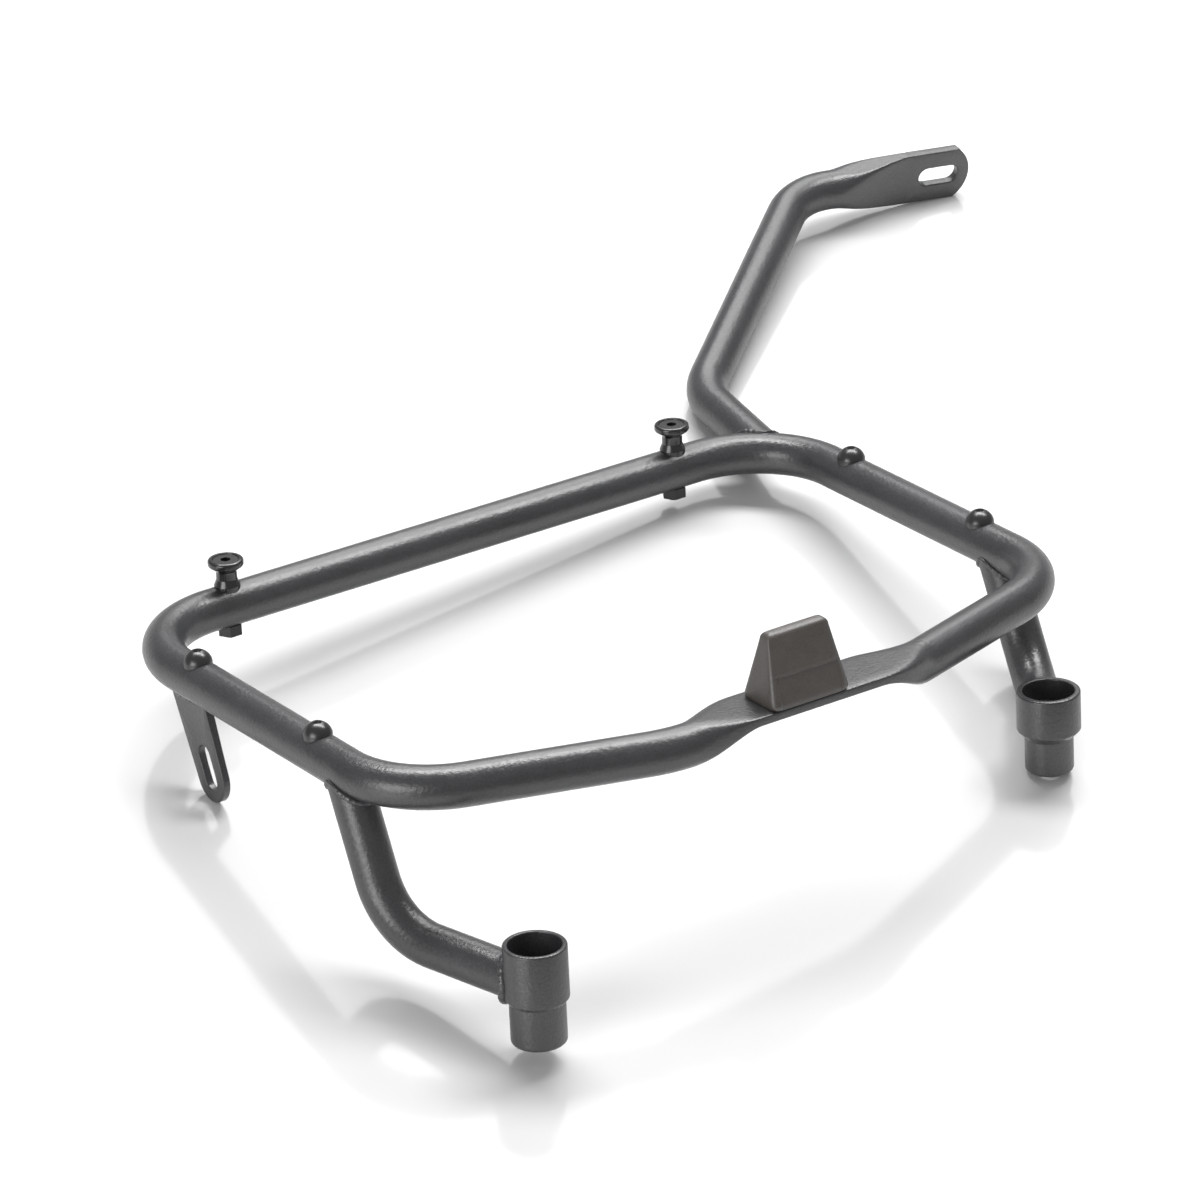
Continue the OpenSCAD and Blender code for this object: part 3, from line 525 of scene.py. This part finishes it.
# %% Latch block
latch_ahead, latch_front_of_rail = 5.2, 2.2
latch_length, latch_depth, latch_high = 38.0, 23.0, 29.4
latch_top_length, latch_top_depth, latch_top_in, latch_round = 30.0, 4.5, 8.0, 3.0
upright_foot, bevel_high, foot_bevel, top_inset, least_half = 2.0, 1.0, 0.5, 0.9, 0.4
latch_x, latch_y = rails_x + latch_ahead, rail_y - latch_front_of_rail
latch_foot = tube_r - press_drop
front_y, back_y = latch_y - latch_depth / 2, latch_y + latch_depth / 2
ridge = front_y + latch_top_depth + latch_top_in
panel_top, panel_low, panel_half, panel_deep, lip_proud, soft_edge = 12.6, 0.5, 15.2, 0.5, 0.25, 0.5
shoulder = latch_high - latch_round
roll = np.linspace(0, math.pi / 2, 7)
walls = np.union1d(np.linspace(upright_foot, shoulder, 12), panel_top + soft_edge * np.linspace(-2, 3, 13))
height = np.concatenate([[0, 0, bevel_high], walls, shoulder + latch_round * np.sin(roll[1:]), [latch_high]])
shrink = np.concatenate([[latch_depth / 2 - foot_bevel, foot_bevel, 0], 0 * walls,
                         latch_round * (1 - np.cos(roll[1:])), [latch_round + top_inset]])[:, None]
share = np.clip((height - upright_foot) / (shoulder - upright_foot), 0, 1)[:, None]
half_x = (latch_length + (latch_top_length - latch_length) * share) / 2
low_y = front_y + (ridge - latch_top_depth - front_y) * share
high_y = back_y + (ridge + latch_round - back_y) * share
turn = np.linspace(0, 2 * math.pi, 192, endpoint=False)[None]
cx, cy = squircle(turn, 8.0)
from_mid = (half_x - shrink) * cx
up_block = height[:, None]
within = smooth_step((panel_half - np.abs(from_mid)) / soft_edge) * (cy < 0)
below_lip = smooth_step((panel_top - up_block) / soft_edge + 1)
above_foot = smooth_step((up_block - panel_low) / soft_edge)
panel = panel_deep * within * below_lip * above_foot
lip = lip_proud * within * np.exp(-((up_block - panel_top - soft_edge) / soft_edge) ** 2)
half_y = np.maximum((high_y - low_y) / 2 - shrink, least_half)
block = np.stack([latch_x + from_mid, (high_y + low_y) / 2 + half_y * cy + panel - lip,
                  latch_foot + up_block + 0 * cx], -1)
latch = grid_mesh("latch_block_moulded", block, closed_rows=False, slot="latch_plastic", sharp=60.0)
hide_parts("latch_block")

# %% [markdown]
# The pocket
# The bolt of the case's lock goes into a pocket at the block's back. A Boolean
# cuts it: the cutter is a box with round corners that stands out behind the
# block, and it is removed once the cut mesh is kept.

# %% Pocket for the lock's bolt
pocket_length, pocket_depth, pocket_height, pocket_low = 20.0, 9.0, 11.0, 11.5
rim_points = 96
cx, cy = squircle(np.linspace(0, 2 * math.pi, rim_points, endpoint=False), 14.0)
pocket_z = latch_foot + pocket_low + pocket_height / 2 * (1 + cy)
rim = np.stack([latch_x + pocket_length / 2 * cx, 0 * cx, pocket_z], -1)
depth = np.array([back_y - pocket_depth, back_y + pocket_depth])[:, None, None] * [0, 1, 0]
hollow = bpy.data.meshes.new("pocket")
ring = np.arange(rim_points)
following = np.roll(ring, -1)
walls = np.stack([ring, following, following + rim_points, ring + rim_points], -1)
hollow.from_pydata(to_floor((rim[None] + depth).reshape(-1, 3)).tolist(), [],
                   walls.tolist() + [ring[::-1].tolist(), (ring + rim_points).tolist()])
cutter = bpy.data.objects.new("pocket", hollow)
bpy.context.scene.collection.objects.link(cutter)
cut = latch.modifiers.new("pocket", "BOOLEAN")
cut.operation, cut.solver, cut.object = "DIFFERENCE", "EXACT", cutter
cut_mesh = bpy.data.meshes.new_from_object(latch.evaluated_get(bpy.context.evaluated_depsgraph_get()))
latch.modifiers.clear()
latch.data = cut_mesh
bpy.data.objects.remove(cutter)
cut_mesh.set_sharp_from_angle(angle=math.radians(40.0))
print("latch block with its pocket:", len(cut_mesh.polygons), "faces")

# %% [markdown]
# Weld beads
# A bead lies where one tube's surface meets the other piece. Each point of that
# curve is found by halving: walk along the tube from its start, which is
# inside, to a point that is outside, and halve the step until it is pinned. The
# bead is a small tube along the curve, with the ripples that a welder leaves.

# %% Weld beads at the tubes
bead_r, cup_bead_r, swell = 1.5, 2.3, 0.3
ripple, ripple_step, long_waves = 0.07, 2.4, 7
bead_step, bead_sides, least_end = 0.45, 20, 0.02
rim_angles, halvings, tiny = 240, 30, 0.01
off_every_tube = [0.31, 0.17, 0.93]


def bead(name, curve, outward, replaced, radius=bead_r, closed=True):
    """A circle of radius times 1 + ripple * (sin of a short wave + sin of a long wave) along a
    curve; an open bead shrinks to its ends like the square root of a half wave."""
    step = np.diff(curve, axis=0, append=curve[:1] if closed else curve[-1:])
    length = np.concatenate([[0], np.cumsum(np.linalg.norm(step, axis=1))])
    total = length[-1]
    places = np.linspace(0, total, int(total / bead_step), endpoint=not closed)
    end = slice(0, 1) if closed else slice(-1, None)
    loop_points, loop_out = np.concatenate([curve, curve[end]]), np.concatenate([outward, outward[end]])
    line = np.stack([np.interp(places, length, loop_points[:, k]) for k in range(3)], -1)
    out = np.stack([np.interp(places, length, loop_out[:, k]) for k in range(3)], -1)
    waves = round(total / ripple_step)
    thick = np.broadcast_to(radius, len(curve))
    thick = np.interp(places, length, np.append(thick, thick[end]))
    once = 2 * math.pi * places / total
    size = thick * (1 + ripple * (np.sin(waves * once) + np.sin(long_waves * once)))
    if closed:
        ahead = np.roll(line, -1, 0) - np.roll(line, 1, 0)
    else:
        ahead = np.gradient(line, axis=0)
        size = size * np.sqrt(np.maximum(np.sin(once / 2), least_end))
    ahead = unit(ahead)
    out = unit(out - ahead * np.sum(out * ahead, 1, keepdims=True))
    side = np.cross(ahead, out)
    around = np.linspace(0, 2 * math.pi, bead_sides, endpoint=False)
    ring = np.cos(around)[None, :, None] * out[:, None] + np.sin(around)[None, :, None] * side[:, None]
    piece = grid_mesh(name, line[:, None] + size[:, None, None] * ring, closed_rows=closed, flip=True)
    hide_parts(replaced)


def joint_bead(name, start, end, depth_inside, reach, radius=bead_r):
    """Halves along the tube start-end, for all angles at once, down to where depth_inside changes
    sign. The bead thins out to a quarter where both surfaces run side by side: crease is the sine
    of the angle between their normals."""
    forward = unit(np.subtract(end, start))
    n1 = unit(np.cross(forward, off_every_tube))
    n2 = np.cross(forward, n1)
    around = np.linspace(0, 2 * math.pi, rim_angles, endpoint=False)[:, None]
    outward = np.cos(around) * n1 + np.sin(around) * n2
    near, far = np.zeros((rim_angles, 1)), np.full((rim_angles, 1), reach)
    for _ in range(halvings):
        half_way = (near + far) / 2
        inside = depth_inside(start + tube_r * outward + half_way * forward)[:, None] < 0
        near, far = np.where(inside, half_way, near), np.where(inside, far, half_way)
    curve = start + tube_r * outward + near * forward
    slope = np.stack([depth_inside(curve + tiny * axis) - depth_inside(curve) for axis in np.eye(3)], -1)
    crease = np.linalg.norm(np.cross(unit(slope), outward), axis=1)
    bead(name, curve, outward, name, radius * (0.25 + 0.75 * crease))


def side_tube(x):
    """Below 0 inside the loop's side at x: distance from its middle line less its swelled radius."""
    return lambda p: np.hypot(p[:, 0] - x, p[:, 2]) - tube_r - swell


def cup_wall(at, cup_od):
    """Below 0 inside an upright cup: distance from its axis less its radius."""
    return lambda p: np.hypot(p[:, 0] - at[0], p[:, 1] - at[1]) - cup_od / 2 - swell


def corner_ring(p):
    """Below 0 inside the loop's round corner: distance from its arc less the tube's radius."""
    from_centre = np.hypot(p[:, 0] - loop_length + corner_bend, p[:, 1] + corner_bend)
    return np.hypot(from_centre - corner_bend, p[:, 2]) - tube_r - swell


leg_reach, arm_reach = 30.0, 34.0
rear_cup, front_cup = cup_wall(rear_rim, rear_cup_od), cup_wall(front_rim, front_cup_od)
joint_bead("rear_leg_loop_weld", rear_top, rear_knee, side_tube(0.0), leg_reach)
joint_bead("front_leg_loop_weld", front_top, front_knee, side_tube(loop_length), leg_reach)
joint_bead("rear_leg_socket_weld", rear_meet, rear_knee, rear_cup, leg_reach, cup_bead_r)
joint_bead("front_leg_socket_weld", front_meet, front_knee, front_cup, leg_reach, cup_bead_r)
joint_bead("arm_loop_weld", arm_root, arm_1, corner_ring, arm_reach)

# %% [markdown]
# The tab's welds
# The tab is welded on both of its faces, in two straight open beads.

# %% Weld beads at the tab
tab_bead_r, tab_bead_out, tab_bead_points, tab_weld_short = 1.6, 0.5, 60, 3.0
tab_weld_y = -tab_place - tube_r * math.tan(tab_lean)
half_run = (tab_top_width - tab_weld_short) / 2
for face, sign in (("left", -1), ("right", 1)):
    run_y = tab_weld_y + np.linspace(-half_run, half_run, tab_bead_points)
    at_x = sign * (tab_thick / 2 + tab_bead_out) + 0 * run_y
    curve = np.stack([at_x, run_y, -tube_r + 0 * run_y], -1)
    outward = np.tile([sign, 0, -1.0], (tab_bead_points, 1))
    bead("tab_weld_" + face, curve, outward, "tab_loop_weld", radius=tab_bead_r, closed=False)

# %% [markdown]
# Shader maths as plain Python
# A node tree is arithmetic on sockets. A small class wraps a socket so that the
# arithmetic can be written as Python expressions; each operator adds the Math
# node that it means, also when the number stands on the left.

# %% Sockets with operators
class Wire:
    """One output socket. w + 2, 2 - w and w * w each add a Math node."""

    def __init__(self, tree, socket):
        self.tree, self.socket = tree, socket

    def math(self, operation, *values):
        return node(self.tree, "ShaderNodeMath", {"operation": operation}, dict(enumerate(values)))

    def __add__(self, other): return self.math("ADD", self, other)
    def __radd__(self, other): return self.math("ADD", other, self)
    def __sub__(self, other): return self.math("SUBTRACT", self, other)
    def __rsub__(self, other): return self.math("SUBTRACT", other, self)
    def __mul__(self, other): return self.math("MULTIPLY", self, other)
    def __rmul__(self, other): return self.math("MULTIPLY", other, self)

    def clamp(self):
        return self.math("MINIMUM", self.math("MAXIMUM", self, 0.0), 1.0)


def node(tree, kind, settings, values, output=0):
    """A node of this kind: its settings first, then a number or a wire into each named socket."""
    made = tree.nodes.new(kind)
    for key, setting in settings.items():
        setattr(made, key, setting)
    for key, value in values.items():
        if isinstance(value, Wire):
            tree.links.new(value.socket, made.inputs[key])
        else:
            made.inputs[key].default_value = value
    return Wire(tree, made.outputs[output])


def blend_colours(tree, factor, first, second):
    """Mix node on colours: first where factor is 0, second where it is 1. Inputs 6 and 7 of the
    node are its two colours, and output 2 is the mixed one."""
    return node(tree, "ShaderNodeMix", {"data_type": "RGBA"}, {0: factor, 6: first, 7: second}, 2)


def grain(tree, place, size_mm, detail=2.0):
    """Noise whose blobs are about size_mm wide, from 0 to 1."""
    values = {"Vector": place, "Scale": 1 / (size_mm * MM), "Detail": detail}
    return node(tree, "ShaderNodeTexNoise", {}, values)


def new_material(name):
    """An empty material and its node tree, with the object coordinates in metres. finish_with adds the
    output node.
    """
    material = bpy.data.materials.new(name)
    material.use_nodes = True
    tree = material.node_tree
    tree.nodes.clear()
    return material, tree, node(tree, "ShaderNodeTexCoord", {}, {}, "Object")


def finish_with(material, tree, shader):
    output = tree.nodes.new("ShaderNodeOutputMaterial")
    tree.links.new(shader.socket, output.inputs["Surface"])
    print("finish", material.name, len(tree.nodes), "nodes")
    return material


# %% [markdown]
# Finishes
# Powder coat melts into tiny hills, so its light spots are broken up. Fine
# noise drives the bump, and slow noise shifts colour and roughness a little, as
# on any real batch. The other finishes are the same recipe with other numbers.

# %% Finish recipe
slow_mm, middle_mm, finer_share = 38.0, 5.0, 0.45


def coated(name, dark, light, rough, rough_change, peel_mm, peel_high_mm, fleck=0.0, metallic=0.0):
    """tone = 0.5 + 1.2 (slow - 0.5) + 0.8 (middle - 0.5) + fleck (finer - 0.5), from four noises;
    colour = mix(dark, light, tone); roughness = rough + rough_change (slow + fine - 1);
    bump height = peel_high_mm (fine + finer / 2)."""
    material, tree, place = new_material(name)
    slow = grain(tree, place, slow_mm, 3.0)
    middle = grain(tree, place, middle_mm, 3.0)
    fine = grain(tree, place, peel_mm, 1.0)
    finer = grain(tree, place, peel_mm * finer_share, 1.0)
    tone = ((slow - 0.5) * 1.2 + (middle - 0.5) * 0.8 + 0.5 + (finer - 0.5) * fleck).clamp()
    colour = blend_colours(tree, tone, dark, light)
    roughness = (rough + (slow - 0.5) * rough_change + (fine - 0.5) * rough_change).clamp()
    bump = {"Height": fine + finer * 0.5, "Distance": peel_high_mm * MM, "Strength": 1.0}
    hills = node(tree, "ShaderNodeBump", {}, bump)
    coat = {"Base Color": colour, "Roughness": roughness, "Normal": hills, "Metallic": metallic,
            "Specular IOR Level": 1.0}
    shader = node(tree, "ShaderNodeBsdfPrincipled", {}, coat)
    return finish_with(material, tree, shader)


# %% [markdown]
# Five finishes from one recipe
# The tubes wear a coarse powder coat. The spools are smooth black, the bolts
# and nuts black oxide, the buffers dull rubber and the latch block brown plastic.

# %% Finishes of the pieces
finishes = {
    "frame_paint": coated("powder_coat", (0.028, 0.0285, 0.031, 1), (0.050, 0.051, 0.055, 1),
                          rough=0.33, rough_change=0.14, peel_mm=1.5, peel_high_mm=0.13, fleck=2.2),
    "spool_black": coated("spool_finish", (0.008, 0.008, 0.009, 1), (0.014, 0.014, 0.015, 1),
                          rough=0.22, rough_change=0.10, peel_mm=1.6, peel_high_mm=0.010),
    "bolt_black": coated("black_oxide", (0.016, 0.016, 0.018, 1), (0.034, 0.034, 0.036, 1), rough=0.38,
                         rough_change=0.16, peel_mm=0.7, peel_high_mm=0.012, fleck=0.3, metallic=0.5),
    "buffer_rubber": coated("rubber", (0.010, 0.010, 0.011, 1), (0.018, 0.018, 0.019, 1),
                            rough=0.30, rough_change=0.10, peel_mm=0.9, peel_high_mm=0.012),
    "latch_plastic": coated("moulded_plastic", (0.058, 0.050, 0.044, 1), (0.098, 0.087, 0.078, 1),
                            rough=0.42, rough_change=0.16, peel_mm=0.9, peel_high_mm=0.06, fleck=2.0),
}
for slot, pieces in by_slot.items():
    for piece in pieces:
        piece.data.materials.clear()
        piece.data.materials.append(finishes[slot])
for name in ("rear_spool_bolt", "front_spool_bolt", "rear_spool_nut", "front_spool_nut", "latch_screws"):
    for holder in frame["nodes"][name].material_slots:
        holder.material = finishes["bolt_black"]
print("pieces with a finish:", sum(len(pieces) for pieces in by_slot.values()))

# %% [markdown]
# Floor
# A pale studio floor, a little glossy, so the legs leave a faint mirror image
# next to their soft shadow. It is wide enough to fill the view to every side.

# %% Floor
far_m = 30.0
floor_corners = [(-far_m, -far_m, 0), (far_m, -far_m, 0), (far_m, far_m, 0), (-far_m, far_m, 0)]
floor_mesh = bpy.data.meshes.new("floor")
floor_mesh.from_pydata(floor_corners, [], [(0, 1, 2, 3)])
floor = bpy.data.objects.new("floor", floor_mesh)
bpy.context.scene.collection.objects.link(floor)
material, tree, place = new_material("studio_floor")
cloud_mm = 400.0
cloud = grain(tree, place, cloud_mm, 2.0)
floor_rough = 0.11 + (cloud - 0.5) * 0.02
floor_colour = blend_colours(tree, cloud, (0.84, 0.84, 0.84, 1), (0.85, 0.85, 0.85, 1))
gloss = {"Base Color": floor_colour, "Roughness": floor_rough, "IOR": 1.45}
shader = node(tree, "ShaderNodeBsdfPrincipled", {}, gloss)
floor_mesh.materials.append(finish_with(material, tree, shader))

# %% [markdown]
# Light
# A tube shows a softbox where its normal lies halfway between camera and light.
# One long softbox hangs over the back corner, so rails, short sides and arm all
# show it along their tops. One at the left lights the legs and sockets. A wide
# dim card behind is what the glossy floor mirrors.
# The world adds even grey light, and is white only where the camera sees it.

# %% World and softboxes
world = bpy.data.worlds.new("studio")
bpy.context.scene.world = world
world.use_nodes = True
tree = world.node_tree
tree.nodes.clear()
seen = node(tree, "ShaderNodeLightPath", {}, {}, "Is Camera Ray")
even_light = 0.30
strength = seen * (1 - even_light) + even_light
sky = node(tree, "ShaderNodeBackground", {}, {"Color": (1, 1, 1, 1), "Strength": strength})
world_out = tree.nodes.new("ShaderNodeOutputWorld")
tree.links.new(sky.socket, world_out.inputs["Surface"])


def aim(at, target, roll=0.0):
    """A turn whose -Z looks from at to target; the right-hand axis tilts up by roll."""
    forward = (Vector(target) - Vector(at)).normalized()
    level = forward.cross(Vector((0, 0, 1))).normalized()
    upright = level.cross(forward)
    right = level * math.cos(roll) + upright * math.sin(roll)
    turn = Matrix((right, right.cross(forward), -forward)).transposed().to_4x4()
    return Matrix.Translation(at) @ turn


def softbox(name, at, target, width, height, watts):
    light = bpy.data.lights.new(name, "AREA")
    light.shape, light.size, light.size_y, light.energy = "RECTANGLE", width, height, watts
    holder = bpy.data.objects.new(name, light)
    holder.matrix_world = aim(at, target)
    bpy.context.scene.collection.objects.link(holder)
    print(name, watts, "W")


softbox("softbox_overhead", at=(0.65, 0.8, 2.1), target=(0, 0, 0.03), width=2.6, height=0.62, watts=62)
softbox("softbox_left", at=(-2.6, -0.7, 0.9), target=(0, 0, 0.05), width=1.6, height=1.4, watts=26)
softbox("card_back", at=(2.0, 2.6, 2.3), target=(0, 0, 0), width=2.4, height=1.8, watts=48)

# %% [markdown]
# Camera
# The photo was taken from far away with a long lens, so it has little
# perspective. The camera stands where the photo's stood, seen from this frame,
# with the same small roll. Only the lens is longer, so that this frame alone,
# of the two in the photo, fills the picture.

# %% Camera
camera_at, camera_target = (-1.4159, -1.8776, 1.7110), (-0.059, 0.016, 0.007)
camera_roll, lens_mm, sensor_mm = math.radians(2.03), 205.0, 36.0
camera_data = bpy.data.cameras.new("camera")
camera_data.sensor_width, camera_data.lens = sensor_mm, lens_mm
camera_data.clip_end = 100.0
camera = bpy.data.objects.new("camera", camera_data)
camera.matrix_world = aim(camera_at, camera_target, camera_roll)
bpy.context.scene.collection.objects.link(camera)
bpy.context.scene.camera = camera
bpy.context.scene.view_settings.view_transform = "Standard"
